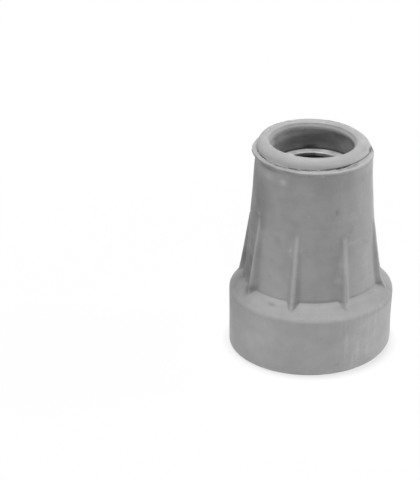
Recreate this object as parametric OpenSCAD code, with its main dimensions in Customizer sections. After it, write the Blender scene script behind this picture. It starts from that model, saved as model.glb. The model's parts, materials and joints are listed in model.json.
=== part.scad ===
// Rubber cane tip: a moulded grey rubber foot with a socket for a 19 mm shaft, and the steel
// washer that sits in the mouth of the socket. It stands on its tread, with +Z up the shaft.

/* [Overall] */
// Height from the ground to the top of the lip
tip_h = 52; // [40:0.5:66]
// Diameter of the foot collar near the ground
foot_d = 38; // [31:0.5:48]

/* [Foot collar] */
// Height of the collar's upper corner, before it is rounded
foot_h = 14.4; // [9:0.2:20]
// How much the collar's radius grows from the ground to that corner
foot_draft = 0.1; // [0:0.05:0.4]
// Rounding of the edge beside the ground
foot_edge_r = 1.6; // [0.6:0.1:2.4]
// Rounding of the collar's upper corner
foot_top_r = 1.4; // [0.4:0.1:2.4]
// Rise of the sloping shoulder between the collar and the neck
shoulder_h = 3.5; // [2:0.1:6]

/* [Neck] */
// Rubber around the socket at the top of the neck
neck_wall = 4.1; // [2.5:0.1:6]
// How much the neck's radius grows from its top to the shoulder
neck_flare = 2.05; // [0.5:0.05:2.6]
// Fillet between the neck and the shoulder
neck_fillet_r = 1.7; // [0.4:0.1:3]

/* [Lip] */
// Height of the rounded lip above the flange
lip_h = 2.3; // [1.6:0.1:4]
// How far the lip's widest point lies inside the flange's edge
lip_setback = 0.95; // [0.3:0.05:1.6]
// Width of the flange outside the neck
flange_w = 0.55; // [0.2:0.05:1.2]
// Thickness of the flange at its edge
flange_t = 0.7; // [0.4:0.05:1.5]
// Depth of the crease between the flange and the lip, from the flange's edge
crease_depth = 1.45; // [0.6:0.05:2]
// Width of the rounding from the top of the lip into the socket
mouth_w = 1.3; // [0.5:0.1:2]
// Depth of that rounding
mouth_depth = 1.8; // [0.6:0.1:3]

/* [Socket] */
// Diameter of the socket, a little under the shaft that it grips
socket_d = 18.5; // [14:0.1:23]
// Solid rubber between the ground and the socket's floor
socket_floor_h = 16; // [11:0.5:20]
// Fillet around the socket's floor
socket_fillet_r = 1; // [0.4:0.1:2]

/* [Washer] */
// How much wider than the socket the washer is
washer_grip = 0.5; // [0.2:0.05:1.2]
// Width of the washer's flat ring
washer_ring_w = 2.2; // [1.5:0.1:5]
// Thickness of the washer
washer_t = 1; // [0.5:0.1:2]
// Depth of the washer's upper face below the top of the lip
washer_depth = 6.7; // [5.5:0.1:12]
// Rounding of the washer's edges
washer_edge_r = 0.2; // [0.05:0.05:0.25]
// Clearance around the washer in its groove
washer_clear = 0.1; // [0.05:0.05:0.3]
// Free height in the groove above the washer
washer_play = 1; // [0.2:0.1:1.5]

/* [Ribs] */
// Number of ribs around the neck
rib_count = 8; // [4:1:12]
// Turn of the first rib from the +X side
rib_turn = -15; // [-45:1:45]
// Height of a rib from its foot on the shoulder to its top on the neck
rib_rise = 18; // [8:0.5:22]
// Share of the shoulder's width that a rib's foot reaches out over
rib_reach = 0.5; // [0.2:0.05:0.7]
// Width of a rib's crest
rib_crest_w = 0.5; // [0.3:0.05:1.2]
// Angle between a rib's two flanks
rib_angle = 70; // [40:2:90]

/* [Tread] */
// Width of the flat band that touches the ground
land_w = 1.2; // [0.6:0.1:2]
// Width from the collar's edge in to the outer groove
band_w = 5.3; // [4.5:0.1:6]
// Height of the hollow under the tip at the outer groove
dish_h = 2.6; // [0.5:0.1:4]
// Width of the outer groove
groove_w = 3; // [1.5:0.1:3.6]
// Width of the flat tread ring between the grooves
ring_w = 3.7; // [1.5:0.1:4]
// Width of the inner groove
inner_groove_w = 2.6; // [1:0.1:2.8]
// Depth of both grooves, above the tread ring's face
groove_depth = 4; // [1:0.2:6]
// How much a groove narrows on each side towards its floor
groove_taper = 0.6; // [0:0.05:0.8]
// How far the boss in the middle stands below the tread ring's face
boss_drop = 0.8; // [0:0.1:2]

/* [Hidden] */

// Facets of a turned shape, and steps of a rounding in its outline
turn_fn = 96;
round_steps = 6;

// Radii of the foot, the socket and the neck
foot_r = foot_d / 2;
foot_corner_r = foot_r + foot_draft;
socket_r = socket_d / 2;
neck_top_r = socket_r + neck_wall;
neck_base_r = neck_top_r + neck_flare;

// Heights of the shoulder, the flange and the lip
neck_base_z = foot_h + shoulder_h;
flange_top_z = tip_h - lip_h;
flange_z = flange_top_z - flange_t;
flange_slope_h = 0.2;

// The lip: its widest radius, and the radius and height of its crown
flange_r = neck_top_r + flange_w;
lip_r = flange_r - lip_setback;
crown_r = socket_r + mouth_w;
lip_side_z = flange_top_z + 0.5;

// The washer in its groove
washer_r = socket_r + washer_grip / 2;
washer_hole_r = washer_r - washer_ring_w;
washer_top_z = tip_h - washer_depth;
washer_z = washer_top_z - washer_t;
seat_r = washer_r + washer_clear;
seat_top_z = washer_top_z + washer_play;

// The tread, from the land inwards
land_r = foot_r - foot_edge_r;
groove_r = foot_r - band_w;
ring_r = groove_r - groove_w;
inner_groove_r = ring_r - ring_w;
boss_r = inner_groove_r - inner_groove_w;
groove_z = dish_h + groove_depth;
boss_z = dish_h - boss_drop;

// Points of an elliptical arc about c, from angle a0 to a1
function arc(c, rx, ry, a0, a1) = [
    for (i = [0:round_steps])
        let (a = a0 + (a1 - a0) * i / round_steps)
        [c[0] + rx * cos(a), c[1] + ry * sin(a)]
];

// Direction angle from p to q
function heading(p, q) = atan2(q[1] - p[1], q[0] - p[0]);

// Angle a brought within half a turn of zero
function half_turn(a) = a - 360 * floor((a + 180) / 360);

// Points of the fillet that rounds corner p between neighbours a and b, limited by the shorter wall
function fillet(a, p, b, r) =
    let (
        to_a = heading(p, a),
        sweep = half_turn(heading(p, b) - to_a),
        half = abs(sweep) / 2,
        run = min(r / tan(half), 0.48 * norm(a - p), 0.48 * norm(b - p)),
        rr = run * tan(half),
        mid = to_a + sweep / 2,
        c = p + rr / sin(half) * [cos(mid), sin(mid)],
        start = heading(c, p + run * [cos(to_a), sin(to_a)]),
        end = heading(c, p + run * [cos(to_a + sweep), sin(to_a + sweep)]),
        turn = half_turn(end - start)
    )
    arc(c, rr, rr, start, start + turn);

// Outline of the tread, from the axis out to the land
tread_line = [
    [0, boss_z],
    [boss_r, boss_z],
    [boss_r + groove_taper, groove_z],
    [inner_groove_r - groove_taper, groove_z],
    [inner_groove_r, dish_h],
    [ring_r, dish_h],
    [ring_r + groove_taper, groove_z],
    [groove_r - groove_taper, groove_z],
    [groove_r, dish_h],
    [land_r - land_w, 0]
];

// Corners of the outside, from the ground up to the flange
ground_corner = [foot_r, 0];
collar_corner = [foot_corner_r, foot_h];
neck_corner = [neck_base_r, neck_base_z];
neck_end = [neck_top_r, flange_z - flange_slope_h];

outside_line = concat(
    fillet([land_r - land_w, 0], ground_corner, collar_corner, foot_edge_r),
    fillet(ground_corner, collar_corner, neck_corner, foot_top_r),
    fillet(collar_corner, neck_corner, neck_end, neck_fillet_r),
    [
        neck_end,
        [flange_r, flange_z],
        [flange_r, flange_top_z - flange_slope_h],
        [flange_r - crease_depth, flange_top_z]
    ]
);

// The lip's crown, from its widest point over the top and into the socket
crown_line = concat(
    arc([crown_r, lip_side_z], lip_r - crown_r, tip_h - lip_side_z, 0, 90),
    [
        for (i = [1:round_steps])
            let (a = 90 + 90 * i / round_steps)
            [crown_r + (crown_r - socket_r) * cos(a), tip_h - mouth_depth * (1 - sin(a))]
    ]
);

// The socket's wall with the washer's groove, and its floor
socket_line = concat(
    [
        [socket_r, seat_top_z],
        [seat_r, seat_top_z],
        [seat_r, washer_z],
        [socket_r, washer_z]
    ],
    fillet([socket_r, washer_z], [socket_r, socket_floor_h], [0, socket_floor_h], socket_fillet_r),
    [[0, socket_floor_h]]
);

// One rib: a wedge whose crest runs from the shoulder up to the neck, buried in the rubber
module rib() {
    shoulder_w = foot_corner_r - neck_base_r;
    foot = [neck_base_r + rib_reach * shoulder_w, neck_base_z - rib_reach * shoulder_h];
    top_z = foot[1] + rib_rise;
    top_r = neck_base_r - neck_flare * (top_z - neck_base_z) / (neck_end[1] - neck_base_z);
    lean = atan2(foot[0] - top_r, rib_rise);
    proud = foot[0] - neck_base_r;
    sunk = proud + 1.4;
    flank_w = sunk * tan(rib_angle / 2);
    below = 2.5;
    above = 1.5;
    translate([foot[0], 0, foot[1]])
        rotate([0, -lean, 0])
            translate([0, 0, -below])
                linear_extrude(height = below + rib_rise / cos(lean) + above)
                    polygon([
                        [0, rib_crest_w / 2],
                        [-sunk, rib_crest_w / 2 + flank_w],
                        [-sunk, -rib_crest_w / 2 - flank_w],
                        [0, -rib_crest_w / 2]
                    ]);
}

// The moulded rubber: one turned body with its ribs
module rubber_tip() {
    color([0.52, 0.52, 0.52]) {
        rotate_extrude($fn = turn_fn)
            polygon(concat(tread_line, outside_line, crown_line, socket_line));
        for (i = [0:rib_count - 1])
            rotate([0, 0, rib_turn + i * 360 / rib_count]) rib();
    }
}

// The flat steel washer that lies in the groove of the socket
module steel_washer() {
    color([0.78, 0.78, 0.77])
        rotate_extrude($fn = turn_fn)
            polygon([
                [washer_hole_r, washer_z + washer_edge_r],
                [washer_hole_r + washer_edge_r, washer_z],
                [washer_r - washer_edge_r, washer_z],
                [washer_r, washer_z + washer_edge_r],
                [washer_r, washer_top_z - washer_edge_r],
                [washer_r - washer_edge_r, washer_top_z],
                [washer_hole_r + washer_edge_r, washer_top_z],
                [washer_hole_r, washer_top_z - washer_edge_r]
            ]);
}

rubber_tip();
steel_washer();
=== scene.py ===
# %% [markdown]
# # A rubber cane tip
#
# A cane tip is one rubber moulding that is pushed over the end of a walking cane. From the ground up it
# has a wide foot collar, a sloping shoulder, a neck with eight ribs, and a rounded lip around the mouth
# of a socket. A flat steel washer lies in the socket so that the shaft doesn't punch through the rubber.
#
# The first cell loads the engineered model, which fixes every size. Whatever this script makes has to
# stay on it, so lengths are read from the model's boxes where they can be. All of them are held in
# millimetres here, and become metres only when a mesh is made, because Blender's unit is the metre.

# %% Load the engineered model
import json
import math

import bmesh
import bpy
import numpy as np
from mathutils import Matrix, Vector

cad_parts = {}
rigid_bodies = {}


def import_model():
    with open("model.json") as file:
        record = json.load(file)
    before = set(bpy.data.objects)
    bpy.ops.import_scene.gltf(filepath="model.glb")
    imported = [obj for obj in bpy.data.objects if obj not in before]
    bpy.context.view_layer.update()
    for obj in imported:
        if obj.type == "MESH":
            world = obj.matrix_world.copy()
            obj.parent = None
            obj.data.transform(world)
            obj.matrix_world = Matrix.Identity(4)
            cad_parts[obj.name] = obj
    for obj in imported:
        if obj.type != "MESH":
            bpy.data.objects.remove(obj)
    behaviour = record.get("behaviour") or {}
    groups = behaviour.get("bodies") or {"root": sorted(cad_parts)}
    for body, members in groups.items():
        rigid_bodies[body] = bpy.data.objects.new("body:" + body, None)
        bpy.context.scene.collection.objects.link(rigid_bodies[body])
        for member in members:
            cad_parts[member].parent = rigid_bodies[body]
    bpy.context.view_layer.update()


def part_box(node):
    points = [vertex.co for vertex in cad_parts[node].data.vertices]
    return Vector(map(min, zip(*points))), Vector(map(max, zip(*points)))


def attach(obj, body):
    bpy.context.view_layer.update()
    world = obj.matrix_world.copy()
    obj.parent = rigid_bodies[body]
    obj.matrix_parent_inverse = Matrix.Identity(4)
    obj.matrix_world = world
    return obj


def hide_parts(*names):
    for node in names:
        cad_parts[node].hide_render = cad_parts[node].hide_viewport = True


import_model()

MM = 0.001

tip_low, tip_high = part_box("rubber_tip")
ring_low, ring_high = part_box("steel_washer")
print("rubber tip, mm:", [round(side / MM, 2) for side in tip_high - tip_low])
print("washer, mm:", [round(side / MM, 2) for side in ring_high - ring_low])

# %% [markdown]
# ## The camera
#
# A product picture is taken from some way off with a long lens, so that upright edges stay nearly
# parallel. Blender describes a lens by its focal length against a 36 mm sensor: 180 mm is a strong
# telephoto. The camera stands half a metre in front of the tip and looks 26 degrees down, enough to see
# over the front of the lip into the socket. It stands a little to the left and looks straight ahead, so
# the tip is right of the middle of the picture.

# %% Camera
LENS = 180.0
SENSOR_WIDTH = 36.0
LOOK_DOWN = 25.98
CAMERA_PLACE = (-0.02365, -0.50374, 0.27155)

camera_data = bpy.data.cameras.new("product_camera")
camera_data.lens = LENS
camera_data.sensor_width = SENSOR_WIDTH
camera_data.clip_start = 0.01
camera = bpy.data.objects.new("product_camera", camera_data)
camera.location = CAMERA_PLACE
camera.rotation_euler = (math.radians(90 - LOOK_DOWN), 0.0, 0.0)
bpy.context.scene.collection.objects.link(camera)
bpy.context.scene.camera = camera
print("camera distance, mm:", round(camera.location.length / MM))

# %% [markdown]
# ## The outline
#
# Everything but the ribs is turned about one axis, so half of the section is enough: a line in the plane
# of radius and height. It starts at the centre of the tread underneath, runs out to the ground edge,
# up the outside, over the lip, down the socket, and ends at the centre of the socket's floor. A line
# with both ends on the axis makes a closed skin with no hole in it.
#
# Moulded rubber has no sharp edges. The outline is therefore given by its corners, each with a rounding,
# and a function swaps every corner for an arc that touches both walls. The last number of each corner
# says how closely the rows of the mesh follow each other on the wall after it. Where rows are far apart,
# as under the tread and deep in the socket, the arcs get fewer points too.

# %% Arcs and rounded corners
# Degrees from point to point of an arc: where rows are close, where they are far apart, and in the mouth
FINE_ARC = 16.0
COARSE_ARC = 30.0
MOUTH_ARC = 7.0
# The most that an arc takes of each wall, so that the arcs at its two ends never meet
WALL_SHARE = 0.49


def arc(centre, radii, start, end, step=FINE_ARC):
    """Points on an ellipse: centre + (rx cos a, ry sin a), with a going evenly from start to end."""
    count = max(3, int(abs(end - start) / step) + 2)
    angle = np.radians(np.linspace(start, end, count))
    return np.stack([centre[0] + radii[0] * np.cos(angle), centre[1] + radii[1] * np.sin(angle)], 1)


def round_corner(before, corner, after, radius, step):
    """Points of the arc that touches both walls of a corner.

    The arc's centre lies on the line that halves the angle, at radius / sin(half angle) from the corner.
    """
    to_before = (before - corner) / np.linalg.norm(before - corner)
    to_after = (after - corner) / np.linalg.norm(after - corner)
    half = math.acos(float(np.clip(to_before @ to_after, -1, 1))) / 2
    longest = WALL_SHARE * min(np.linalg.norm(before - corner), np.linalg.norm(after - corner))
    run = min(radius / math.tan(half), longest)
    radius = run * math.tan(half)
    middle = (to_before + to_after) / np.linalg.norm(to_before + to_after)
    centre = corner + middle * radius / math.sin(half)
    first = corner + to_before * run - centre
    last = corner + to_after * run - centre
    start = math.degrees(math.atan2(first[1], first[0]))
    sweep = math.degrees(math.atan2(last[1], last[0])) - start
    sweep = (sweep + 180) % 360 - 180
    return arc(centre, (radius, radius), start, start + sweep, step)


# %% A line through rounded corners
# Rows nearer to each other than this are close
FINE_ROWS = 0.55


def outline(corners):
    """A line through corners (radius, height, rounding, row spacing), with even steps on each wall."""
    spots = np.array([corner[:2] for corner in corners], float)
    runs = [spots[:1]]
    for before, corner, after, (_, _, rounding, spacing) in zip(spots, spots[1:], spots[2:], corners[1:]):
        step = FINE_ARC if spacing < FINE_ROWS else COARSE_ARC
        runs.append(round_corner(before, corner, after, rounding, step) if rounding else corner[None])
    runs.append(spots[-1:])
    line = [runs[0]]
    for previous, following, (_, _, _, spacing) in zip(runs, runs[1:], corners):
        a, b = previous[-1], following[0]
        count = max(1, round(float(np.linalg.norm(b - a)) / spacing))
        share = np.linspace(0, 1, count + 1)[1:-1, None]
        line += [a + (b - a) * share, following]
    return np.concatenate(line)


# %% Sizes of the outside and the lip, in millimetres
TIP_H = tip_high.z / MM
COLLAR_R = tip_high.x / MM
COLLAR_H = 14.4
FOOT_R = COLLAR_R - 0.1
FOOT_ROUNDING = 1.5
NECK_BASE_R = 15.8
NECK_BASE_Z = 17.55
SHOULDER_R = NECK_BASE_R + 0.85
SHOULDER_Z = NECK_BASE_Z - 0.62
FLARE_R = 15.25
FLARE_Z = 20.3
FLANGE_R = 13.9
FLANGE_Z = 49.0
NECK_TOP_R = 13.35
NECK_TOP_Z = FLANGE_Z - 0.2
CREASE_R = 12.9
CREASE_Z = 49.65
FLANGE_TOP_R = FLANGE_R - 0.05
FLANGE_TOP_Z = CREASE_Z - 0.15
LIP_R = 12.95
LIP_SIDE_Z = 50.0
CROWN_R = 11.0
CROWN_POWER = 1.75
CROWN_POINTS = 20
MOUTH_R = 9.45
MOUTH_Z = 49.9

# %% Sizes of the socket and the tread, in millimetres
SOCKET_R = 9.25
SOCKET_FLOOR_Z = 16.0
SOCKET_STRAIGHT_Z = MOUTH_Z - 2.6
SEAT_R = ring_high.x / MM + 0.1
SEAT_Z = ring_low.z / MM
SEAT_TOP_Z = ring_high.z / MM + 1.0

# The tread, which faces the ground: a boss and a ring between grooves, inside a dished rim
BOSS_R = 4.4
BOSS_Z = 1.8
RING_IN_R = 7.0
RING_OUT_R = 10.7
DISH_R = 13.7
DISH_Z = 2.6
GROOVE_Z = 6.6
GROOVE_TAPER = 0.6
LAND_R = 16.2

# %% Corners of the body
# Each corner: its radius, height and rounding, and how far apart the rows are on the wall after it
tread = [
    (0, BOSS_Z, 0, 1.4),
    (BOSS_R, BOSS_Z, 0.5, 1.2),
    (BOSS_R + GROOVE_TAPER, GROOVE_Z, 0.5, 0.6),
    (RING_IN_R - GROOVE_TAPER, GROOVE_Z, 0.5, 1.2),
    (RING_IN_R, DISH_Z, 0.4, 0.9),
    (RING_OUT_R, DISH_Z, 0.4, 1.2),
    (RING_OUT_R + GROOVE_TAPER, GROOVE_Z, 0.6, 0.8),
    (DISH_R - GROOVE_TAPER, GROOVE_Z, 0.6, 1.2),
    (DISH_R, DISH_Z, 0.5, 0.6),
    (LAND_R, 0, 1.6, 0.6),
]
outside = [
    (FOOT_R, 0, FOOT_ROUNDING, 0.54),
    (COLLAR_R, COLLAR_H, 1.5, 0.3),
    (SHOULDER_R, SHOULDER_Z, 1.2, 0.2),
    (NECK_BASE_R, NECK_BASE_Z, 0.12, 0.25),
    (FLARE_R, FLARE_Z, 12, 0.52),
    (NECK_TOP_R, NECK_TOP_Z, 0.12, 0.2),
    (FLANGE_R, FLANGE_Z, 0.18, 0.2),
    (FLANGE_TOP_R, FLANGE_TOP_Z, 0.22, 0.25),
    (CREASE_R, CREASE_Z, 0.08, 0.2),
    (LIP_R, LIP_SIDE_Z, 0, 0.2),
]
inside = [
    (SOCKET_R, SOCKET_STRAIGHT_Z, 1.5, 0.7),
    (SOCKET_R, SEAT_TOP_Z, 0.12, 0.25),
    (SEAT_R, SEAT_TOP_Z, 0.12, 0.5),
    (SEAT_R, SEAT_Z, 0.1, 0.25),
    (SOCKET_R, SEAT_Z, 0.12, 3.0),
    (SOCKET_R, SOCKET_FLOOR_Z, 1.0, 1.6),
    (0, SOCKET_FLOOR_Z, 0, 1.0),
]

# %% The line from the tread's centre to the socket's floor
# The lip's outer quarter is a superellipse, x^p + y^p = 1, which a power p below 2 makes leaner than an
# ellipse, and its inner quarter, the mouth's edge, is an ellipse
quarter = np.radians(np.linspace(0, 90, CROWN_POINTS))
crown = np.stack([CROWN_R + (LIP_R - CROWN_R) * np.cos(quarter) ** (2 / CROWN_POWER),
                  LIP_SIDE_Z + (TIP_H - LIP_SIDE_Z) * np.sin(quarter) ** (2 / CROWN_POWER)], 1)
mouth = arc((CROWN_R, MOUTH_Z), (CROWN_R - MOUTH_R, TIP_H - MOUTH_Z), 90, 180, MOUTH_ARC)
lower_line = outline(tread + outside)
socket_line = outline([(*mouth[-1], 0, 0.35)] + inside)
body_line = np.concatenate([lower_line, crown[1:-1], mouth[:-1], socket_line])
print("rows in the outline:", len(body_line))

# %% [markdown]
# ## The ribs
#
# Eight ribs stand on the neck and stiffen it. Each is a wedge: tall at the foot, where it dies out on the
# shoulder in a V, and low at the top, where it stops short. Ribs could be separate blades pushed into the
# neck, but rubber is moulded in one go, so here the ribs are part of the skin: the radius at any height and
# angle is the larger of the turned body's and the rib's, and the two melt into each other where they meet.
#
# The columns of the mesh are crowded at the ribs, where the shape changes fast, and sparse between them.
# The ribs of a soft moulding don't stand quite straight either, so each has a small shift at its foot and
# at its top, and the columns near it follow.

# %% Two soft steps
def fade(x, start, end):
    """0 before start, 1 after end, and 3t^2 - 2t^3 between, where t is the share of the way."""
    t = np.clip((x - start) / (end - start), 0, 1)
    return t * t * (3 - 2 * t)


def bell(distance, width):
    """exp(-(distance / width)^2): 1 at distance 0 and nearly 0 at twice the width."""
    return np.exp(-(distance / width) ** 2)


# %% Columns of the mesh
FULL_TURN = 2 * np.pi
RIB_COUNT = 8
SECTOR = FULL_TURN / RIB_COUNT
# Columns for each rib, and how much they gather there: 0 would leave them even, 1 would stack them up
COLUMNS = 40
GATHER = 0.78

u = np.arange(COLUMNS * RIB_COUNT) / COLUMNS
rib_index = np.round(u).astype(int) % RIB_COUNT
crowded = u - GATHER * np.sin(2 * np.pi * u) / (2 * np.pi)
even_angle = SECTOR * crowded
from_rib = even_angle - SECTOR * np.round(u)
gaps = np.degrees(np.diff(even_angle))
print("columns:", len(u), "from", round(gaps.min(), 2), "to", round(gaps.max(), 2), "degrees apart")

# %% The grid: radius, height and angle of every point
# Degrees from +X, anticlockwise from above, to the first rib
RIB_TURN = -15.0
# Radius and height of a crest's two ends
RIB_FOOT_R, RIB_FOOT_Z = 17.35, 16.0
RIB_TOP_R, RIB_TOP_Z = 14.7, 33.4
# A number for each rib, anticlockwise from the first: degrees that its foot, and its top, is out of line
FOOT_SHIFT = (0.0, -1.2, 1.8, -0.8, 1.2, 0.3, -2.2, -4.3)
TOP_SHIFT = (-0.8, -0.5, 0.8, 0.3, 0.5, 1.0, -0.7, -2.1)
# Heights between which the shift comes in under the ribs, and dies out over them
SHIFT_IN = (6, 14)
SHIFT_OUT = (37, 46)

Z = np.repeat(body_line[:, 1:], len(u), 1)
R = np.repeat(body_line[:, :1], len(u), 1)
up_the_rib = np.clip((Z - RIB_FOOT_Z) / (RIB_TOP_Z - RIB_FOOT_Z), 0, 1)
foot_shift = np.radians(FOOT_SHIFT)[rib_index]
top_shift = np.radians(TOP_SHIFT)[rib_index]
shift = foot_shift + (top_shift - foot_shift) * up_the_rib
near_rib = (1 + np.cos(2 * np.pi * from_rib / SECTOR)) / 2
shift *= near_rib * fade(Z, *SHIFT_IN) * (1 - fade(Z, *SHIFT_OUT))
A = math.radians(RIB_TURN) + even_angle + shift
print("grid:", R.shape, "triangles:", 2 * R.size)

# %% The ribs' section
# The crest is hollowed by SAG, and past its stop it drops by STOP_RATE times the distance squared
SAG = 0.06
STOP_Z = 33.2
STOP_RATE = 1.6
# A number for each rib: millimetres that it stops higher, and that its foot stands out
STOP_SHIFT = (0.0, 0.4, -0.5, 0.6, -1.6, 2.3, 0.0, -1.1)
FOOT_FLARE = (0.5, 0.2, 0.1, 0.25, 0.15, -0.1, 0.2, 0.25)
FOOT_FLARE_REACH = 2.2
# Where the crest goes level, as a share of the rib's height below its foot
LEVEL_BELOW = 0.2
# Half the width of the crest's flat band, the fall beside it, and the rounding between the two
BAND = 0.52
FLANK_SLOPE = 1.55
HINGE = 0.22


def rib_crest(z):
    """Radius of a rib's crest: a line from foot to top, hollowed by a parabola, that drops past its stop.

    Below the shoulder the line goes level, so that it stays inside the collar.
    """
    t = np.maximum((z - RIB_FOOT_Z) / (RIB_TOP_Z - RIB_FOOT_Z), -LEVEL_BELOW)
    hollow = SAG * 4 * np.clip(t, 0, 1) * (1 - np.clip(t, 0, 1))
    drop = STOP_RATE * np.clip(z - STOP_Z - np.array(STOP_SHIFT)[rib_index], 0, None) ** 2
    flare = np.array(FOOT_FLARE)[rib_index] * bell(z - RIB_FOOT_Z, FOOT_FLARE_REACH)
    return RIB_FOOT_R + (RIB_TOP_R - RIB_FOOT_R) * t - hollow - drop + flare


def rib_radius(z, sideways):
    """Crest radius, less the flank's slope times a soft max(0, |sideways| - band)."""
    past_band = np.abs(sideways) - BAND
    return rib_crest(z) - FLANK_SLOPE * (past_band + np.sqrt(past_band ** 2 + HINGE ** 2)) / 2


# %% Melt the ribs into the body
# How softly they meet: on the shoulder, what the neck adds, and the share of that which is gone at the
# ribs' tops
SHOULDER_BLEND = 0.12
NECK_BLEND = 0.5
BLEND_LOSS = 0.75


def soft_max(a, b, blend):
    """b + (a - b) h + blend h (1 - h), with h going from 0 to 1 as a - b goes from -blend to blend.

    It gives h too, which is the share of a.
    """
    h = np.clip(0.5 + (a - b) / (2 * blend), 0, 1)
    return b + (a - b) * h + blend * h * (1 - h), h


row = np.arange(len(body_line))[:, None]
foot_row = int(np.argmax(body_line[:, 0] >= FOOT_R))
flange_row = int(np.argmax(body_line[:, 1] > NECK_TOP_Z - 0.1))
on_outside = (row > foot_row) & (row < flange_row)
on_neck = on_outside * fade(Z, NECK_BASE_Z, NECK_BASE_Z + 1)
up_the_neck = fade(Z, NECK_BASE_Z, NECK_BASE_Z + 1.2)
blend = SHOULDER_BLEND + NECK_BLEND * up_the_neck * (1 - BLEND_LOSS * up_the_rib)
with_rib, rib_share = soft_max(rib_radius(Z, R * from_rib), R, blend)
R = np.where(on_outside, with_rib, R)
rib_share = np.where(on_outside, rib_share, 0)
print("rib height over the neck, mm:", round(float(rib_crest(NECK_BASE_Z)[0] - NECK_BASE_R), 2))

# %% [markdown]
# ## Out of true
#
# Soft rubber is pulled out of its mould while it is warm, so no tip is a perfect turning. This one leans a
# little, its lip is lower on one side, the edge on the ground is rounder on one side, and the flange is
# trimmed unevenly. The crease under the lip is filled in one place and open in another, the mouth isn't
# quite round, small lumps are left all over, and fine mould lines at the foot of the neck and behind the
# lip. Sculpting could give all this, but then nobody could say how large each fault is. Here each is a
# formula on the same grid: a distance along the outline's normal, a small shift up, down or towards the
# axis, or, last of all, a lean or a tilt of whole rings.

# %% Helpers for the faults
# The angle of the front, from +X
FRONT = 1.5 * np.pi
QUARTER = np.pi / 2

slope = np.gradient(body_line, axis=0)
slope /= np.linalg.norm(slope, axis=1, keepdims=True)
normal_r = np.repeat(slope[:, 1:], len(u), 1)
normal_z = np.repeat(-slope[:, :1], len(u), 1)
right_side = np.clip(np.cos(A), 0, 1)
back_side = np.clip(np.sin(A), 0, 1)
outwards = np.zeros_like(R)


def waves(angle, counts, seed):
    """A closed wobble, about -1 to 1: sines of whole counts and seeded phases, summed, over root n."""
    phases = np.random.default_rng(seed).uniform(0, FULL_TURN, len(counts))
    return sum(np.sin(n * angle + phase) for n, phase in zip(counts, phases)) / math.sqrt(len(counts))


def near(radius, height):
    """Distance in the plane of the outline from a point (radius, height)."""
    return np.hypot(R - radius, Z - height)


def turn_from(side):
    """The angle round the axis, -pi to pi, from the line at side radians to the right of the front."""
    return (A - FRONT - side + np.pi) % FULL_TURN - np.pi


def round_about(*places):
    """Sum of amount times a bell of the turn over places (side, width, amount), with angles in radians."""
    return sum(amount * bell(turn_from(side), width) for side, width, amount in places)


# %% The ground edge, rounder on the right
# How far from the edge's corner the skin is reshaped
EDGE_REACH = 2.65
# What the rounding gains all round, and what it gains on the right and loses on the left
EDGE_MORE = 0.1
EDGE_SIDE = 0.9
# Rows of the land under the tip, before the corner, that take part
LAND_ROWS = 14


def restretch(distance, rounding):
    """Distances up to the old rounding grow to the new one; the rest closes up again by EDGE_REACH."""
    inner = distance * rounding / FOOT_ROUNDING
    outer = rounding + (distance - FOOT_ROUNDING) * (EDGE_REACH - rounding) / (EDGE_REACH - FOOT_ROUNDING)
    return np.where(distance < FOOT_ROUNDING, inner, np.where(distance < EDGE_REACH, outer, distance))


edge_rounding = FOOT_ROUNDING + EDGE_MORE + EDGE_SIDE * np.cos(A)
to_edge = near(FOOT_R, 0)
growth = restretch(to_edge, edge_rounding) / np.maximum(to_edge, 0.01)
on_rim = (row >= foot_row - LAND_ROWS) & (row < flange_row) & (R > LAND_R)
R = np.where(on_rim, FOOT_R + (R - FOOT_R) * growth, R)
Z = np.where(on_rim, Z * growth, Z)
print("ground edge's rounding, mm:", round(edge_rounding.min(), 2), "to", round(edge_rounding.max(), 2))

# %% Lumps, and lines left by the turning of the mould
# Heights of the long waves and of the lumps, with the lumps' length, and depth and spacing of the lines
WAVE = 0.035
LUMP = 0.03
LUMP_STEP = 2.3
LINE = 0.05
LINE_STEP = 0.5
LINE_WIDTH = 0.1

outwards += WAVE * waves(A + 0.1 * Z, (2, 3, 5, 7), 1) * on_neck
lumps = waves(A, (3, 4, 9, 13), 2) * np.sin(Z / LUMP_STEP + waves(A, (1, 2, 3), 3))
outwards += LUMP * lumps * on_outside

over_foot = Z - NECK_BASE_Z
foot_lines = bell(np.mod(over_foot - 0.3, LINE_STEP) - LINE_STEP / 2, LINE_WIDTH)
foot_lines *= 1 - fade(over_foot, 1.2, 2)
outwards -= LINE * foot_lines * on_neck * (1 - rib_share)
print("lumps and lines, mm:", round(float(outwards.min()), 2), "to", round(float(outwards.max()), 2))

# %% The neck's top and the shoulder, a little fuller on the right
# A place round the tip: radians to the right of the front, width in radians, and millimetres
NECK_FULLER = (1.6, 0.4, 0.18)
NECK_FULLER_Z = 46.2
NECK_FULLER_REACH = 2.0
SHOULDER_FULLER = 0.24

outwards += round_about(NECK_FULLER) * bell(Z - NECK_FULLER_Z, NECK_FULLER_REACH) * on_outside
shoulder_share = fade(Z, COLLAR_H - 8, COLLAR_H) * (1 - fade(Z, NECK_BASE_Z - 1, NECK_BASE_Z))
outwards += SHOULDER_FULLER * right_side * shoulder_share * on_outside

# %% The crease under the lip, and the flange below it
# Places where the crease is filled or open, where the flange's rim stands out or is cut back, where the
# crease rises and where the flange sags
FILLED = ((-0.75, 0.4, 0.34), (0, 0.35, 0.119), (np.pi, 0.5, 0.204))
OPEN = ((0.52, 0.3, 0.36), (1.1, 0.4, 0.14), (1.46, 0.06, 0.4))
TRIMMED = ((-QUARTER, 0.35, 0.3), (1.72, 0.34, -0.65))
RAISED = (0.8, 0.6, 0.42)
SAGGED = (0.8, 0.6, 0.1)
RAISED_ALL_ROUND = 0.15
# How far each of these reaches across the outline
FILL_REACH = 0.42
OPEN_REACH = 0.17
TRIM_REACH = 0.5
RAISE_REACH = 0.45
SAG_REACH = 0.3

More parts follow.
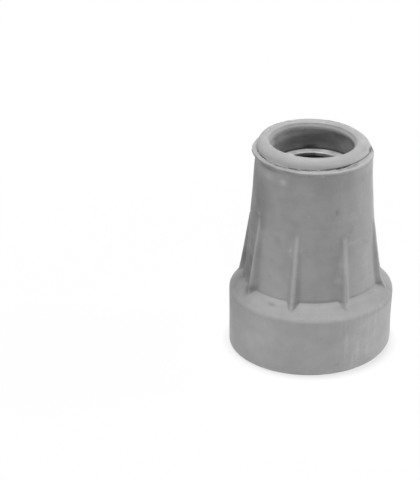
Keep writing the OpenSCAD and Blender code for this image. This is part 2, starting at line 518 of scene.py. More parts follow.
over_flange = row > flange_row
to_crease = near(CREASE_R, CREASE_Z)
torn = 0.06 * waves(A, (2, 5, 9), 4) + 0.09 * waves(A, (19, 31, 43, 57), 8)
outwards += round_about(*FILLED) * bell(to_crease, FILL_REACH) * over_flange
outwards -= (round_about(*OPEN) + torn) * bell(to_crease, OPEN_REACH) * over_flange
frayed = 0.05 * waves(A, (3, 8, 13, 21), 5) + 0.03 * waves(A, (29, 37, 47), 6)
to_rim = near(FLANGE_R, (FLANGE_Z + CREASE_Z) / 2)
outwards += (round_about(*TRIMMED) + frayed) * bell(to_rim, TRIM_REACH)
upwards = (RAISED_ALL_ROUND + round_about(RAISED)) * bell(to_crease, RAISE_REACH) * over_flange
upwards -= round_about(SAGGED) * bell(near(FLANGE_R, FLANGE_Z), SAG_REACH)

# %% The lip: fuller in places, with fine creases round its back, where the mould's core met its ring
BULGED = (1.6, 0.5, 0.3)
FULLER = ((QUARTER + 1.0, 0.3, 0.09), (QUARTER + 2.55, 0.25, 0.08))
# Each crease: its radius, height and depth
LIP_CREASES = (
    (CROWN_R + 0.45, TIP_H - 0.05, 0.05),
    (CROWN_R - 0.5, TIP_H - 0.1, 0.12),
    (MOUTH_R + 0.35, TIP_H - 0.7, 0.12),
)
LIP_CREASE_WIDTH = 0.15
# Rows of the mesh from the neck's top to the lip
ROWS_TO_LIP = 8

on_lip = row > flange_row + ROWS_TO_LIP
outwards += round_about(BULGED) * fade(R, CROWN_R, LIP_R) * on_lip
outwards += round_about(*FULLER) * fade(R, CROWN_R - 0.6, CROWN_R + 0.4) * on_lip
at_back = fade(np.sin(A), -0.5, 0.5)
for crease_r, crease_z, depth in LIP_CREASES:
    outwards -= depth * at_back * bell(near(crease_r, crease_z), LIP_CREASE_WIDTH) * on_lip

# %% The socket: the edge over the washer's groove is worn off but for the back, and the mouth is uneven
EDGE_WORN = 0.3
EDGE_LEFT = (math.radians(184), 0.22, 1.0)
# How much narrower the mouth is at the back, and places where it is wider, below zero, or narrower
MOUTH_BACK = 0.14
MOUTH_UNEVEN = ((QUARTER + 3.35, 0.4, -0.25), (QUARTER + 0.6, 0.35, 0.04))

in_socket = (row > flange_row) & (R < CROWN_R)
groove_open = round_about(EDGE_LEFT)
over_seat = Z - SEAT_TOP_Z
at_edge = fade(over_seat, -0.2, -0.05) * (1 - fade(over_seat, 0.05, 0.9)) * (R < SOCKET_R + 0.15)
inwards = -EDGE_WORN * (1 - groove_open) * at_edge * in_socket
at_mouth = fade(CROWN_R - R, 0, 0.8) * (1 - fade(MOUTH_Z - Z, 1, 3.5))
inwards += (MOUTH_BACK * back_side + round_about(*MOUTH_UNEVEN)) * at_mouth * in_socket

R = R + outwards * normal_r - inwards
Z = Z + outwards * normal_z + upwards
for way, fault in (("outwards", outwards), ("inwards", inwards), ("upwards", upwards)):
    print("faults", way + ", mm:", round(float(fault.min()), 2), "to", round(float(fault.max()), 2))

# %% The lean, the lip's tilt and the flange's tilt
LEAN = 0.16
LEAN_FROM_Z = 15
LEAN_OVER = 35
LIP_SHIFT = 0.22
LIP_DROP = 0.06
LIP_DROP_RIGHT = 0.33
LIP_DROP_FRONT = 0.1
FLANGE_DROP = 0.3
FLANGE_RISE_LEFT = 0.25
# Heights between which the lip's shift and tilt come in, and the flange's drop comes in and goes out
LIP_SHIFT_Z = (48.5, 50.6)
LIP_DROP_Z = (49.8, 51.4)
FLANGE_FROM_Z = (47, 48.6)
FLANGE_TO_Z = (49.7, 51)
# Radii between which the flange's drop comes in, so that the socket is left alone
FLANGE_FROM_R = (11, 12)


def out_of_true(x, y, z):
    """Shifts x by a lean that grows with height and is undone at the lip, and lowers lip and flange.

    The lip goes down by a plane in x and y, and the flange by a fall that is less on the left.
    """
    lean = LEAN * np.clip((z - LEAN_FROM_Z) / LEAN_OVER, 0, None) - LIP_SHIFT * fade(z, *LIP_SHIFT_Z)
    lip = (LIP_DROP_RIGHT * x - LIP_DROP_FRONT * y) / LIP_R + LIP_DROP
    flange = FLANGE_DROP - FLANGE_RISE_LEFT * np.clip(-x / FLANGE_R, 0, 1) ** 2
    at_flange = fade(z, *FLANGE_FROM_Z) * (1 - fade(z, *FLANGE_TO_Z)) * fade(np.hypot(x, y), *FLANGE_FROM_R)
    return np.stack([x + lean, y, z - lip * fade(z, *LIP_DROP_Z) - flange * at_flange], -1)


# %% [markdown]
# ## From grid to mesh
#
# A mesh is a list of points and a list of faces that name their points by number. Because the points lie
# on a grid, the faces need no loop either: four shifted copies of the grid of numbers are the four corners
# of every face at once. The grid wraps round sideways, and the first and last row close on a single point.

# %% Mesh from a grid
def new_piece(name, points, quads, fans):
    """A smooth mesh object at the origin, from points in millimetres, four-sided faces and triangles."""
    mesh = bpy.data.meshes.new(name)
    mesh.from_pydata((points * MM).tolist(), [], quads.tolist() + fans.tolist())
    mesh.shade_smooth()
    mesh.update()
    piece = bpy.data.objects.new(name, mesh)
    bpy.context.scene.collection.objects.link(piece)
    return piece


def quads_of(grid, following):
    """Faces between each row of point numbers and the row after it, wrapping round sideways."""
    beside = np.roll(grid, -1, 1)
    return np.stack([grid, beside, np.roll(following, -1, 1), following], 2).reshape(-1, 4)


def closed_skin(name, radius, height, angle):
    """Skin of points (r cos a, r sin a, z), whose first and last rows are one point each, on the axis."""
    rows, columns = radius.shape
    points = out_of_true(radius * np.cos(angle), radius * np.sin(angle), height)
    ring_points = points[1:-1].reshape(-1, 3)
    poles = np.stack([points[0, 0], points[-1, 0]])
    grid = np.arange((rows - 2) * columns).reshape(rows - 2, columns)
    low, high = len(ring_points), len(ring_points) + 1
    first, last = grid[0], grid[-1]
    low_fan = np.stack([np.full(columns, low), np.roll(first, -1), first], 1)
    high_fan = np.stack([np.full(columns, high), last, np.roll(last, -1)], 1)
    return new_piece(name, np.concatenate([ring_points, poles]), quads_of(grid[:-1], grid[1:]),
                     np.concatenate([low_fan, high_fan]))


# %% The rubber body
CUBIC_CM = 1e6


def volume(piece):
    """Signed volume in cubic centimetres, which is above zero only when the faces point outwards."""
    form = bmesh.new()
    form.from_mesh(piece.data)
    amount = form.calc_volume(signed=True) * CUBIC_CM
    form.free()
    return round(amount, 3)


body = closed_skin("rubber_body", R, Z, A)
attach(body, "root")
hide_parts("rubber_tip")
print("rubber body: faces", len(body.data.polygons), "volume, cm3", volume(body))

# %% [markdown]
# ## Where rubber is rubbed, and where dirt and painted shade lie
#
# Edges that stand out are rubbed pale by hands and by other tips in the box, and dirt and painted shade lie
# in the hollows and at the ribs' roots. The edge above the washer's groove gets a painted highlight. All of
# them could be painted by hand. Here they come from the shape itself: the outline's turning tells a ridge
# from a hollow, and the ribs' own formula tells their crests from their roots. The result is stored as one
# number per point, an attribute, which the material reads later.

# %% Rubbed edges and a painted highlight, and dirt and painted shade in the hollows
# How far along the outline a corner's wear spreads, and the turning that gives full wear
SPREAD = 0.4
FULL_MARK = 1.1
CREST_WIDTH = 0.58
SEAT_HIGHLIGHT_WIDTH = 0.3
RUBBED_RIDGES = 0.5
ROOT_DIRT_AND_SHADE = 0.15

steps = np.linalg.norm(np.diff(body_line, axis=0), axis=1)
travel = np.concatenate([[0], np.cumsum(steps)])
heading = np.unwrap(np.arctan2(slope[:, 1], slope[:, 0]))
turning = np.gradient(heading)
nearby = bell(travel[:, None] - travel[None], SPREAD)
ridge = np.clip(nearby @ np.clip(turning, 0, None) / FULL_MARK, 0, 1)[:, None]
hollow = np.clip(nearby @ np.clip(-turning, 0, None) / FULL_MARK, 0, 1)[:, None]

rib_height = rib_crest(Z) - np.repeat(body_line[:, :1], len(u), 1)
crest_line = bell(R * from_rib, CREST_WIDTH) ** 2 * fade(rib_height, 0.05, 0.3) * on_outside
rib_root = 4 * rib_share * (1 - rib_share) * fade(rib_height, 0.1, 0.5)
# Painted highlight along the edge above the washer's groove, carried in the same number as the rubbed edges
seat_edge_highlight = bell(near(SOCKET_R, SEAT_TOP_Z), SEAT_HIGHLIGHT_WIDTH) * in_socket
rubbed_ridge = RUBBED_RIDGES * ridge * (R > LAND_R - 1) * (1 - in_socket)
rubbed_and_highlight = np.clip(np.maximum(rubbed_ridge, crest_line) + seat_edge_highlight, 0, 1)
above_shoulder = fade(Z, NECK_BASE_Z - 0.15, NECK_BASE_Z + 0.15)
# Dirt and painted shade in the hollows of the outline, and a little at the ribs' roots
dirt_and_shade = np.clip(np.maximum(hollow * (row > foot_row) * above_shoulder, ROOT_DIRT_AND_SHADE * rib_root), 0, 1)

# %% [markdown]
# ## Inside the socket
#
# Tips are dusted with talc so that they leave the mould and slide onto a shaft. The socket is painted pale
# on two opposite sides, at the mouth and on the edge above the washer, as talc and as painted light where
# light falls into the socket. The rest of its walls get painted shade that grows deeper down, and below the
# washer's seat the rubber is painted nearly black, as painted shade.

# %% Talc and painted light, and painted shade deeper in
# How thick talc and painted light can lie, how thick at the mouth and over the washer, a place with more of
# it, and how dark the painted shade on the walls gets
TALC_AND_LIGHT_MOST = 1.3
TALC_AND_LIGHT_MOUTH = 0.4
TALC_AND_LIGHT_EDGE = 0.6
TALC_AND_LIGHT_EXTRA = (QUARTER + 0.6, 0.35, 0.3)
WALL_SHADE = 0.25

# Talc and painted light on two opposite sides of the socket, at its mouth and on the edge above the washer
two_sides = 0.5 + 0.5 * np.cos(2 * A)
two_sides = np.clip(two_sides ** 0.8 + 0.35 * two_sides ** 6 + round_about(TALC_AND_LIGHT_EXTRA), 0, TALC_AND_LIGHT_MOST)
near_mouth = 1 - fade(MOUTH_Z - Z, -0.4, 1.6)
near_edge = (1 - fade(Z - SEAT_TOP_Z, 0.2, 1.6)) * (1 - groove_open)
over_washer = fade(Z, SEAT_Z + 0.9, SEAT_Z + 1.1)
below_mouth = fade(MOUTH_Z - Z, -1.4, 0.4) * in_socket
talc_and_light = np.maximum(TALC_AND_LIGHT_MOUTH * near_mouth, TALC_AND_LIGHT_EDGE * near_edge)
talc_and_light = np.maximum(two_sides, talc_and_light) * below_mouth * over_washer

# Painted shade: nearly black below the washer's seat and in the open groove at the back, and darker walls
# deeper in
below_edge = fade(SEAT_TOP_Z + 0.1 - Z, 0, 0.25) * in_socket
deep_shade = below_edge * (1 - over_washer * (1 - groove_open))
wall_shade = WALL_SHADE * fade(MOUTH_Z - Z, 0, 2) * (1 - two_sides) * in_socket
painted_socket_shade = np.maximum(deep_shade, wall_shade)

# %% [markdown]
# ## Marks of handling, and painted light and shade
#
# Smears, scrapes and stains belong to this one tip, so they can't come from its shape. Each is a smooth
# spot on the skin, paler or darker than the rubber. Many of them are painted light and shade instead: a
# painted shadow down the left, painted shade in creases, under the flange and by the ribs, and a painted
# highlight down the right edge of the neck. Those at the front and sides are placed one by one.
# The faint ones round the back come from a random generator, whose fixed seed gives the same marks on
# every run.

# %% Marks placed one by one
# Each: degrees to the right of the front, height, half width, half height, and how much paler it is
MARKS_LIGHT_AND_SHADE = (
    # Painted shadow down the left of the neck and the shoulder, with pale scrapes in it
    (-84, 25, 5.5, 9.0, -0.75), (-60, 39, 3.0, 5.5, -0.35), (-70, 33, 3.0, 5.0, -0.35),
    (-56, 27, 0.9, 5.0, -0.35), (-55, 34.5, 1.5, 2.0, -0.2), (-86, 19, 3.0, 2.0, -0.5),
    (-63, 17.2, 1.6, 1.2, -0.6), (-94, 15.6, 7.0, 2.4, -0.4), (-61.5, 18.5, 1.0, 2.2, -0.5),
    (-91, 20.5, 5.0, 2.5, -0.6), (-68, 21, 2.2, 4.5, -0.5), (-78, 41.5, 5.0, 5.5, -0.35),
    (-60, 14.6, 10.0, 1.3, -0.22), (-56, 19.5, 1.6, 3.0, -0.3), (-57, 18.2, 1.8, 0.8, -0.35),
    (-62, 36.2, 0.9, 0.5, 0.4), (-60, 33.4, 0.5, 1.6, 0.35),
    # The front of the neck, with painted shade down the left flank of the rib at 30 degrees
    (36, 43, 1.8, 4.0, -0.15), (-37, 33, 3.0, 6.0, 0.1), (-17, 29.8, 1.6, 2.2, 0.16),
    (-22, 30, 0.3, 0.3, 0.5), (-12, 30.2, 0.35, 0.3, 0.4), (38, 31, 1.2, 0.4, 0.25),
    (25.5, 21, 1.0, 3.6, -0.4), (25, 31.5, 0.35, 2.2, -0.2), (23, 26.5, 1.6, 0.4, 0.15),
    (22, 22.5, 1.0, 0.8, 0.25), (21, 39.4, 0.4, 0.7, -0.5), (3, 35.9, 2.2, 0.6, -0.14),
    (-12, 44.0, 2.5, 0.5, 0.12), (-35, 22, 3.0, 5.0, 0.12), (30.5, 27, 0.4, 5.0, -0.2),
    (28.5, 31.6, 1.0, 2.0, -0.2),
    # The right: a painted highlight down the neck's edge, painted shade on the shoulder's edge and a rib's
    # foot
    (60, 24, 2.5, 6.0, 0.1), (84, 40, 2.6, 12, 0.8), (88, 28.5, 2.5, 4.5, 0.5),
    (78, 18.5, 1.0, 3.0, -0.5), (70, 15.8, 13.0, 2.4, -0.36), (66, 14.2, 12.0, 0.9, -0.25),
    # The neck's top, the flange and the lip: painted shadow under the flange on the left, painted shade in
    # the crease on the right, and darker patches that dim the highlights on the flange's front and the
    # lip's top
    (-56, 46.4, 5.0, 1.0, 0.45), (-32, 46.1, 1.0, 0.8, 0.6), (75, 47.2, 4.5, 1.4, 0.3),
    (-37, 47.6, 3.0, 0.6, 0.3), (-55, 48.4, 3.2, 0.35, -1.2), (-27, 49.3, 1.8, 0.45, -0.6),
    (-48, 49.3, 1.5, 0.3, -0.5), (0, 49.2, 5.0, 0.5, -0.25), (45, 49.3, 9.0, 0.45, 0.3),
    (90, 49.8, 2.0, 0.6, -1.4), (-66, 49.2, 6.0, 0.4, -0.4), (0, 51.8, 16.0, 0.6, -0.14),
    (78, 51.5, 3.0, 0.6, -0.35),
    # The front of the shoulder and the collar, with painted shade along the line where the neck meets the
    # shoulder
    (7, 18.0, 5.5, 0.3, -0.3), (-34, 16.5, 1.0, 0.35, -0.5), (2, 16.6, 6.0, 0.6, 0.1),
    (-50, 5.5, 3.5, 3.5, 0.14), (-35, 9.0, 5.0, 5.5, 0.12), (9, 9.0, 3.0, 2.5, -0.1),
    (33, 5.5, 0.6, 3.0, 0.2), (42, 4.5, 0.6, 2.5, 0.2), (24, 7.5, 0.5, 4.0, 0.2),
    (36, 8.5, 4.5, 5.5, 0.2), (17, 3.0, 0.9, 0.6, -0.25), (-72, 11.5, 5.0, 3.0, -0.2),
)
# Dirt and painted shade are given in the same way, with how thick they lie as the last number
DIRT_AND_SHADE = (
    # Dirt and painted shade in the crease under the lip
    (80, 50.4, 1.2, 0.5, 3.2), (56, 49.8, 1.5, 0.12, 0.6), (43, 49.8, 1.2, 0.18, 2.0),
    (35, 49.8, 0.9, 0.18, 2.4), (26, 49.8, 1.4, 0.15, 1.6), (-20, 49.8, 1.5, 0.15, 1.2),
    # Dirt and painted shade at the foot of the neck
    (70, 17.4, 1.0, 0.4, 0.8), (38, 17.8, 1.2, 0.2, 1.5), (22, 17.7, 0.5, 0.2, 1.5),
    (-61.5, 17.5, 0.8, 0.6, 0.7),
)


def marked(degrees, height, half_width, half_height, strength):
    """strength * exp(-q^1.5), where q is the squared distance from the mark's middle in its half sizes."""
    around = turn_from(math.radians(degrees))
    q = (R * around / half_width) ** 2 + ((Z - height) / half_height) ** 2
    return strength * np.exp(-q ** 1.5) * (row > foot_row) * (1 - in_socket)


marks_light_and_shade = sum(marked(*each) for each in MARKS_LIGHT_AND_SHADE)
dirt_and_shade = dirt_and_shade + sum(marked(*each) for each in DIRT_AND_SHADE)
print("marks placed:", len(MARKS_LIGHT_AND_SHADE), "and spots of dirt:", len(DIRT_AND_SHADE))

# %% Marks scattered by chance round the back
CHANCE_MARKS = 40
# The least and the most of each number of a mark, in the same order as above
CHANCE_RANGES = ((60, 300), (2, 47), (0.6, 3.5), (0.5, 4), (-0.16, 0.16))

chance = np.random.default_rng(11)
scattered = zip(*[chance.uniform(least, most, CHANCE_MARKS) for least, most in CHANCE_RANGES])
marks_light_and_shade = marks_light_and_shade + sum(marked(*each) for each in scattered)


# %% Store the numbers on the body's points
def attribute(piece, name, grid):
    """Stores a grid of numbers as a point attribute, with the poles last, as in closed_skin."""
    values = np.concatenate([grid[1:-1].ravel(), grid[0, :1], grid[-1, :1]]).astype(np.float32)
    piece.data.attributes.new(name, "FLOAT", "POINT").data.foreach_set("value", values)
    print(name, "goes from", round(float(grid.min()), 2), "to", round(float(grid.max()), 2))


# Rubbed edges with a painted highlight, dirt with painted shade, painted shade in the socket, talc with
# painted light, and marks with painted light and shade
WEAR_LIGHT_AND_SHADE = {"rubbed_and_highlight": rubbed_and_highlight, "dirt_and_shade": dirt_and_shade, "inside": painted_socket_shade, "talc_and_light": talc_and_light, "marks_light_and_shade": marks_light_and_shade}
for name, grid in WEAR_LIGHT_AND_SHADE.items():
    attribute(body, name, grid)

# %% [markdown]
# ## The washer
#
# The washer is punched out of sheet steel. The punch pulls the upper edges down into a soft roll and
# leaves the lower edges sharp, and the sheet dishes very slightly. A turned rectangle would look like a
# plastic ring, so the section here has a large rounding above and a small one below, carried round the
# axis like the body's outline, but closed on itself instead of on the axis.

# %% Washer
WASHER_R = ring_high.x / MM
WASHER_RING_W = 2.2
WASHER_HOLE_R = WASHER_R - WASHER_RING_W
WASHER_LOW = ring_low.z / MM
WASHER_HIGH = ring_high.z / MM
WASHER_COLUMNS = 144
ROLL = 0.2
BURR = 0.1
DISH = 0.04
WOBBLE = 0.02


def rounded_section(low, high, upper, lower):
    """Closed line round a rectangle, anticlockwise in the plane of radius and height."""
    turns = (
        ((high[0] - lower, low[1] + lower), lower, -90),
        ((high[0] - upper, high[1] - upper), upper, 0),
        ((low[0] + upper, high[1] - upper), upper, 90),
        ((low[0] + lower, low[1] + lower), lower, 180),
    )
    return np.concatenate([arc(centre, (size, size), start, start + 90) for centre, size, start in turns])


def ring_skin(name, section, angle):
    """Skin of a section carried round the axis: (r cos a, r sin a, z), wrapping round both ways.

    The height falls in a straight line towards the hole, by DISH in all.
    """
    radius = section[:, :1] + WOBBLE * waves(angle, (3, 5, 11, 17), 7)
    height = section[:, 1:] - DISH * (1 - (section[:, :1] - WASHER_HOLE_R) / WASHER_RING_W)
    height = np.repeat(height, len(angle), 1)
    points = out_of_true(radius * np.cos(angle), radius * np.sin(angle), height)
    grid = np.arange(radius.size).reshape(radius.shape)
    faces = quads_of(grid, np.roll(grid, -1, 0))
    return new_piece(name, points.reshape(-1, 3), faces, np.empty((0, 3), int))


section = rounded_section((WASHER_HOLE_R, WASHER_LOW + DISH), (WASHER_R, WASHER_HIGH), ROLL, BURR)
washer = ring_skin("washer_ring", section, np.linspace(0, FULL_TURN, WASHER_COLUMNS, endpoint=False))
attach(washer, "root")
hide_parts("steel_washer")
print("washer: faces", len(washer.data.polygons), "volume, cm3", volume(washer))


# %% [markdown]
# ## Shader maths as Python
#
# A material is a tree of nodes joined by links. Written out, every sum takes three lines, so a small class
# wraps a node's output and gives it Python's own operators: 1 - mask * 0.5 adds the Math nodes it needs.
# Every other node comes from one method, which is told the node's type, its settings and its sockets.

# %% A wire through the node tree
class Wire:
    """An output socket. Sums of wires and numbers add Math nodes to the tree that is being built."""

    tree = None

    def __init__(self, socket):
        self.socket = socket

    @classmethod
    def node(cls, kind, settings=None, inputs=None, output=0):
        """Adds a node, gives it its settings and then its sockets' values or links, and wraps an output."""
        made = cls.tree.nodes.new("ShaderNode" + kind)
        for name, value in (settings or {}).items():
            setattr(made, name, value)
        for name, value in (inputs or {}).items():
            if isinstance(value, Wire):
                cls.tree.links.new(value.socket, made.inputs[name])
            else:
                made.inputs[name].default_value = value
        return cls(made.outputs[output]) if made.outputs else None

    def beside(self, name):
        """Another output of the same node."""
        return Wire(self.socket.node.outputs[name])

    def math(self, operation, first, second):
        """The result of one Math node."""
        return Wire.node("Math", {"operation": operation}, {0: first, 1: second})

    def __add__(self, other):
        return self.math("ADD", self, other)

    def __sub__(self, other):
        return self.math("SUBTRACT", self, other)

    def __rsub__(self, other):
        return self.math("SUBTRACT", other, self)

    def __mul__(self, other):
        return self.math("MULTIPLY", self, other)

    def __or__(self, other):
        return self.math("MAXIMUM", self, other)

    __radd__ = __add__
    __rmul__ = __mul__


# %% Nodes that the materials share
def grey(level):
    """A neutral colour with the same share of red, green and blue."""
    return (level, level, level, 1.0)


def blend_colours(share, a, b):
    """Colour a where share is 0 and colour b where it is 1.

    A Mix node has sockets for every type of value: its colours go in at 6 and 7 and come out at 2.
    """
    return Wire.node("Mix", {"data_type": "RGBA"}, {0: share, 6: a, 7: b}, 2)


def ramp(value, low, high):
    """0 below low, 1 above high, and a smooth step between."""
    sockets = {0: value, 1: low, 2: high, 3: 0.0, 4: 1.0}
    return Wire.node("MapRange", {"interpolation_type": "SMOOTHSTEP"}, sockets)


def above(z, low, high):
    """0 below the height low and 1 above the height high, both in millimetres."""
    return ramp(z, low * MM, high * MM)


def noise(place, size, detail=2.0):
    """Smooth noise round 0.5 whose lumps are about size millimetres across."""
    return Wire.node("TexNoise", {}, {"Vector": place, "Scale": 1 / (size * MM), "Detail": detail})


def stretched(place, x, y, z):
    """Coordinates scaled along each axis; a small number draws a pattern out along that axis."""
    return Wire.node("Mapping", {}, {"Vector": place, "Scale": (x, y, z)})


def new_material(name):
    """An empty material, whose tree becomes the one that wires are added to."""
    material = bpy.data.materials.new(name)
    material.use_nodes = True
    material.node_tree.nodes.clear()
    Wire.tree = material.node_tree
    return material


def finish_surface(depth, height, sockets):
    """One shader, with a bump of depth metres from a wire of heights, as the material's surface."""
    bumped = Wire.node("Bump", {}, {"Strength": 1.0, "Distance": depth, "Height": height})
    surface = Wire.node("BsdfPrincipled", {}, {**sockets, "Normal": bumped})
    Wire.node("OutputMaterial", {}, {"Surface": surface})


# %% [markdown]
# ## Grey rubber
#
# Non-marking tips are moulded from grey filled rubber. Its surface is matt, never one flat colour: cloudy
# from uneven mixing, finely grained from the mould's blasted steel, with dark and pale specks, pale rubbed
# edges, dirt and painted shade in the creases and, on the collar, upright scuffs from being packed side by
# side. Each of these is one noise at its own scale in millimetres. Adding them as numbers first, and
# turning the sum into a colour last, keeps the greys neutral and the mixture easy to tune. Painted light
# and shade is
# laid in as well: the collar and the lip are painted paler, the upper neck darker, and the attributes bring
# a painted highlight, painted shadow and shade, and painted light in the socket.
#
# The same numbers drive the roughness and a bump a few hundredths of a millimetre deep, so the highlights
# break up where the colour does.

# %% Rubber's greys, and where its finishes lie
RUBBER_DEEP = 0.16
RUBBER_PALE = 0.56
# The greys of dirt and painted shade, of the painted shade deep in the socket, and of talc and painted
# light
DIRT_AND_SHADE_DARK = 0.12
PAINTED_SHADE_DARK = 0.06
TALC_AND_LIGHT_WHITE = 0.72
# Heights between which the neck gets painted shade, and the scrapes of the ground die out
NECK_DARKER_Z = (22, 36)
GROUND_WEAR_Z = (1.5, 4.5)


def specks(place, patches, size, reach):
    """1 in dots at the middles of cells about size millimetres across, and 0 beyond reach of a cell."""
    cells = Wire.node("TexVoronoi", {}, {"Vector": place, "Scale": 1 / (size * MM)}, "Distance")
    return 1 - ramp(cells + patches * 0.2, 0.03, reach)


def scuffs_of_packing(place, x, upright, on_collar):
    """Upright streaks on the collar, where the noise passes a threshold, and more of them to the right."""
    packed_side = ramp(noise(place, 7.0, 1.0) + x * 14.0, 0.5, 0.75)
    return ramp(upright, 0.55, 0.72) * packed_side * on_collar


def painted_zone_light(z, on_collar):
    """Painted light and shade by zone: the collar and the lip are painted a little paler, the upper neck
    darker.
    """
    on_neck = above(z, NECK_BASE_Z - 0.55, NECK_BASE_Z + 0.45)
    on_neck = on_neck * (1 - above(z, FLANGE_Z - 0.2, FLANGE_Z + 0.2))
    on_lip = above(z, CREASE_Z - 0.05, TIP_H - 0.6)
    return on_collar * 0.06 + on_lip * 0.045 - on_neck * above(z, *NECK_DARKER_Z) * 0.035


# %% Rubber
BLAST_DEPTH = 0.00004


def rubber_material():
    """A tone of clouds, grain, scuffs and lines, with wear, dirt, specks and painted light and shade laid
    over it.
    """
    material = new_material("grey_rubber")
    place = Wire.node("TexCoord", output="Object")
    x = Wire.node("SeparateXYZ", inputs={0: place})
    z = x.beside("Z")
    rubbed_and_highlight_share, dirt_and_shade_share, socket_shade_share, talc_and_light_share, marks_light_and_shade_share = [
        Wire.node("Attribute", {"attribute_name": name}, output="Fac") for name in WEAR_LIGHT_AND_SHADE]

    clouds = noise(place, 8.0, 3.0) - 0.5
    patches = noise(place, 2.6, 3.0) - 0.5
    grain = noise(place, 0.35) - 0.5
    upright = noise(stretched(place, 1, 1, 0.07), 0.8, 3.0)
    turned_lines = noise(stretched(place, 0.03, 0.03, 1), 0.45) - 0.5
    near_ground = 1 - above(z, *GROUND_WEAR_Z)
    on_collar = 1 - above(z, COLLAR_H - 0.2, COLLAR_H + 0.8)

    tone = 0.5 + clouds * 0.35 + patches * 0.2 + grain * 0.1
    tone = tone + turned_lines * (0.05 + near_ground * 0.15)
    # Painted light and shade by zone, and the marks, many of which are painted light and shade
    tone = tone + painted_zone_light(z, on_collar) + marks_light_and_shade_share * (0.5 + patches)
    colour = blend_colours(tone, grey(RUBBER_DEEP), grey(RUBBER_PALE))

    # Each layer: how much of it there is, and its grey
    layers = (
        (scuffs_of_packing(place, x, upright, on_collar) * 0.35, RUBBER_PALE),
        # Pale rubbed edges, and the painted highlight above the washer's groove
        (rubbed_and_highlight_share * (0.3 + patches * 0.7), RUBBER_PALE),
        # Dirt, and painted shade in the hollows and at the ribs' roots
        (dirt_and_shade_share * (0.3 + patches * 0.8), DIRT_AND_SHADE_DARK),
        # Talc, and painted light on the socket's sides and above the washer
        (talc_and_light_share * (0.75 + patches * 1.6), TALC_AND_LIGHT_WHITE),
        # Painted shade deep in the socket, nearly black below the washer
        (socket_shade_share * (0.75 + patches * 1.2), PAINTED_SHADE_DARK),
        (specks(place, patches, 2.4, 0.1) * 0.35, DIRT_AND_SHADE_DARK),
        (specks(stretched(place, 1.07, 1, 1.1), patches, 3.1, 0.09) * 0.4, RUBBER_PALE),
    )
    for share, level in layers:
        colour = blend_colours(share, colour, grey(level))

    roughness = 0.6 + grain * 0.25 + clouds * 0.15 - rubbed_and_highlight_share * 0.08
    height = grain * 1.2 + patches * 1.4 + upright * 0.6 + turned_lines * (0.3 + near_ground * 0.8)
    finish_surface(BLAST_DEPTH, height, {"Base Color": colour, "Roughness": roughness})
    return material


body.data.materials.append(rubber_material())
print("rubber nodes:", len(body.data.materials[0].node_tree.nodes))

# %% [markdown]
# ## Zinc-plated steel
#
# The washer is barrel-plated with zinc and has gone dull: partly bare metal, partly a pale bloom that
# doesn't reflect like metal. Mixing two materials would double the work for the export, so one material's
# metallic value goes up and down with the bloom. Fine scratches run one way over it, and the streaks of
# the sheet's rolling run the other way. The wall of the hole, which the punch sheared, gets a painted
# highlight on its right side.

# %% Steel
ZINC_DEEP = 0.296
ZINC_MID = 0.444
HOLE_HIGHLIGHT_PALE = 0.9
SCRATCH_DEPTH = 0.000012


def hole_wall_highlight(place):
    """Painted highlight: 1 on the wall of the hole, at its right, and 0 from a little way out onto the
    ring's flat.
    """
    from_axis = Wire.node("VectorMath", {"operation": "LENGTH"}, {0: stretched(place, 1, 1, 0)}, "Value")
    x = Wire.node("SeparateXYZ", inputs={0: place})
    return (1 - above(from_axis, WASHER_HOLE_R + 0.06, WASHER_HOLE_R + 0.16)) * above(x, 0.3, 2.0)


def zinc_material():
    """Bloom in patches over rolled sheet, with fine scratches in the bump and the roughness."""
    material = new_material("zinc_steel")
    place = Wire.node("TexCoord", output="Object")
    bloom = ramp(noise(place, 1.8, 4.0), 0.35, 0.65)
    rolled = noise(stretched(place, 0.06, 1, 1), 0.25) - 0.5
    scratches = noise(stretched(place, 1, 0.1, 1), 0.12, 3.0) - 0.5
    pits = noise(place, 0.3) - 0.5

    tone = 0.5 + rolled * 0.4 + pits * 0.4 + (bloom - 0.5) * 0.25
    colour = blend_colours(tone, grey(ZINC_DEEP), grey(ZINC_MID))
    # Painted highlight on the right of the hole's wall
    colour = blend_colours(hole_wall_highlight(place), colour, grey(HOLE_HIGHLIGHT_PALE))
    roughness = 0.55 + scratches * 0.3 + bloom * 0.12
    height = scratches * 0.8 + pits + rolled * 0.4
    metallic = 0.5 - bloom * 0.35
    sockets = {"Base Color": colour, "Metallic": metallic, "Roughness": roughness}
    finish_surface(SCRATCH_DEPTH, height, sockets)
    return material


washer.data.materials.append(zinc_material())
print("steel nodes:", len(washer.data.materials[0].node_tree.nodes))

# %% [markdown]
# ## Ground and background
#
# The tip stands on white paper that runs out of the picture. More light on the paper would burn out the
# rubber too, so the paper glows by itself, but only for rays that come from the camera or from a
# reflection; the rest of it is matt white, which keeps the contact shadow and throws light back up. Further
# from the tip than its shadow reaches, all that the camera sees of the paper is glow.

# %% Ground
PAPER_HALF = 3.0
GROUND_WHITE = 0.9
GROUND_GLOW = 0.75
SHADOW_FROM = 0.03
SHADOW_TO = 0.12


def seen_directly():
    """1 for rays from the camera and for reflected and refracted rays, and 0 for scattered light."""
    camera_ray = Wire.node("LightPath", output="Is Camera Ray")
    return camera_ray | camera_ray.beside("Is Glossy Ray") | camera_ray.beside("Is Transmission Ray")


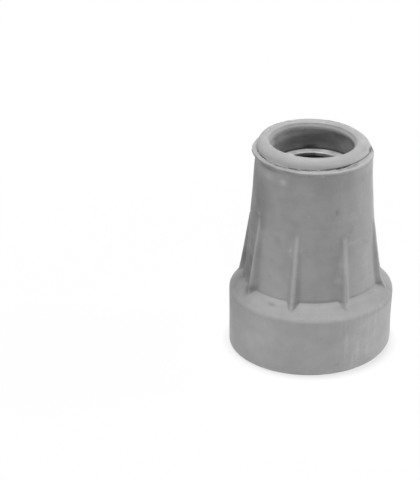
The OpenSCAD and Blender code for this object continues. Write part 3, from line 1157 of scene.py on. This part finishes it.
def paper_material():
    """White emission of strength 1 over matt white, mixed for the rays that see the paper directly."""
    material = new_material("white_paper")
    matt = Wire.node("BsdfDiffuse", {}, {"Color": grey(GROUND_WHITE)})
    glow = Wire.node("Emission", {}, {"Color": grey(1.0), "Strength": 1.0})
    place = Wire.node("TexCoord", output="Object")
    away = Wire.node("VectorMath", {"operation": "LENGTH"}, {0: place}, "Value")
    share = GROUND_GLOW + ramp(away, SHADOW_FROM, SHADOW_TO) * (1 - GROUND_GLOW)
    mixed = Wire.node("MixShader", {}, {0: seen_directly() * share, 1: matt, 2: glow})
    Wire.node("OutputMaterial", {}, {"Surface": mixed})
    return material


corners = [(x * PAPER_HALF, y * PAPER_HALF, 0) for x, y in ((-1, -1), (1, -1), (1, 1), (-1, 1))]
paper_mesh = bpy.data.meshes.new("paper")
paper_mesh.from_pydata(corners, [], [(0, 1, 2, 3)])
paper_mesh.materials.append(paper_material())
paper = bpy.data.objects.new("paper", paper_mesh)
bpy.context.scene.collection.objects.link(paper)
print("paper, m:", [round(side, 2) for side in paper.dimensions])

# %% Background
studio = bpy.data.worlds.new("studio")
studio.use_nodes = True
studio.node_tree.nodes.clear()
Wire.tree = studio.node_tree
sky = Wire.node("Background", {}, {"Color": grey(1.0), "Strength": seen_directly()})
Wire.node("OutputWorld", {}, {"Surface": sky})
bpy.context.scene.world = studio
bpy.context.scene.view_settings.view_transform = "Standard"

# %% [markdown]
# ## Lamps
#
# The light is that of a small studio: one soft box straight above, which makes the lip and the shoulder
# paler than the walls, and three low fills that open up the walls, the strongest of them on the right.
# Area lamps are used because a soft box is a lit square, and its size is what softens the shadow's edge.

# %% Lamps
LAMP_REACH = 0.75
AIM = Vector((0.0, 0.0, 0.028))
# Each: degrees to the right of the front, degrees up, the side of the square in metres, and watts
LAMPS = {
    "box_above": (0, 90, 0.2, 6.3),
    "fill_right": (100, 4, 0.15, 2.2),
    "fill_front": (0, 4, 0.15, 0.64),
    "fill_left": (-60, 4, 0.15, 0.66),
}


def soft_box(name, side, height, size, power):
    """A square lamp that faces the tip, LAMP_REACH away along (sin s cos h, -cos s cos h, sin h)."""
    box = bpy.data.lights.new(name, "AREA")
    box.size = size
    box.energy = power
    lamp = bpy.data.objects.new(name, box)
    turn, rise = math.radians(side), math.radians(height)
    away = Vector((math.sin(turn) * math.cos(rise), -math.cos(turn) * math.cos(rise), math.sin(rise)))
    lamp.location = AIM + away * LAMP_REACH
    lamp.rotation_euler = away.to_track_quat("Z", "Y").to_euler()
    bpy.context.scene.collection.objects.link(lamp)


for name, values in LAMPS.items():
    soft_box(name, *values)
    print(name, "watts:", values[-1])
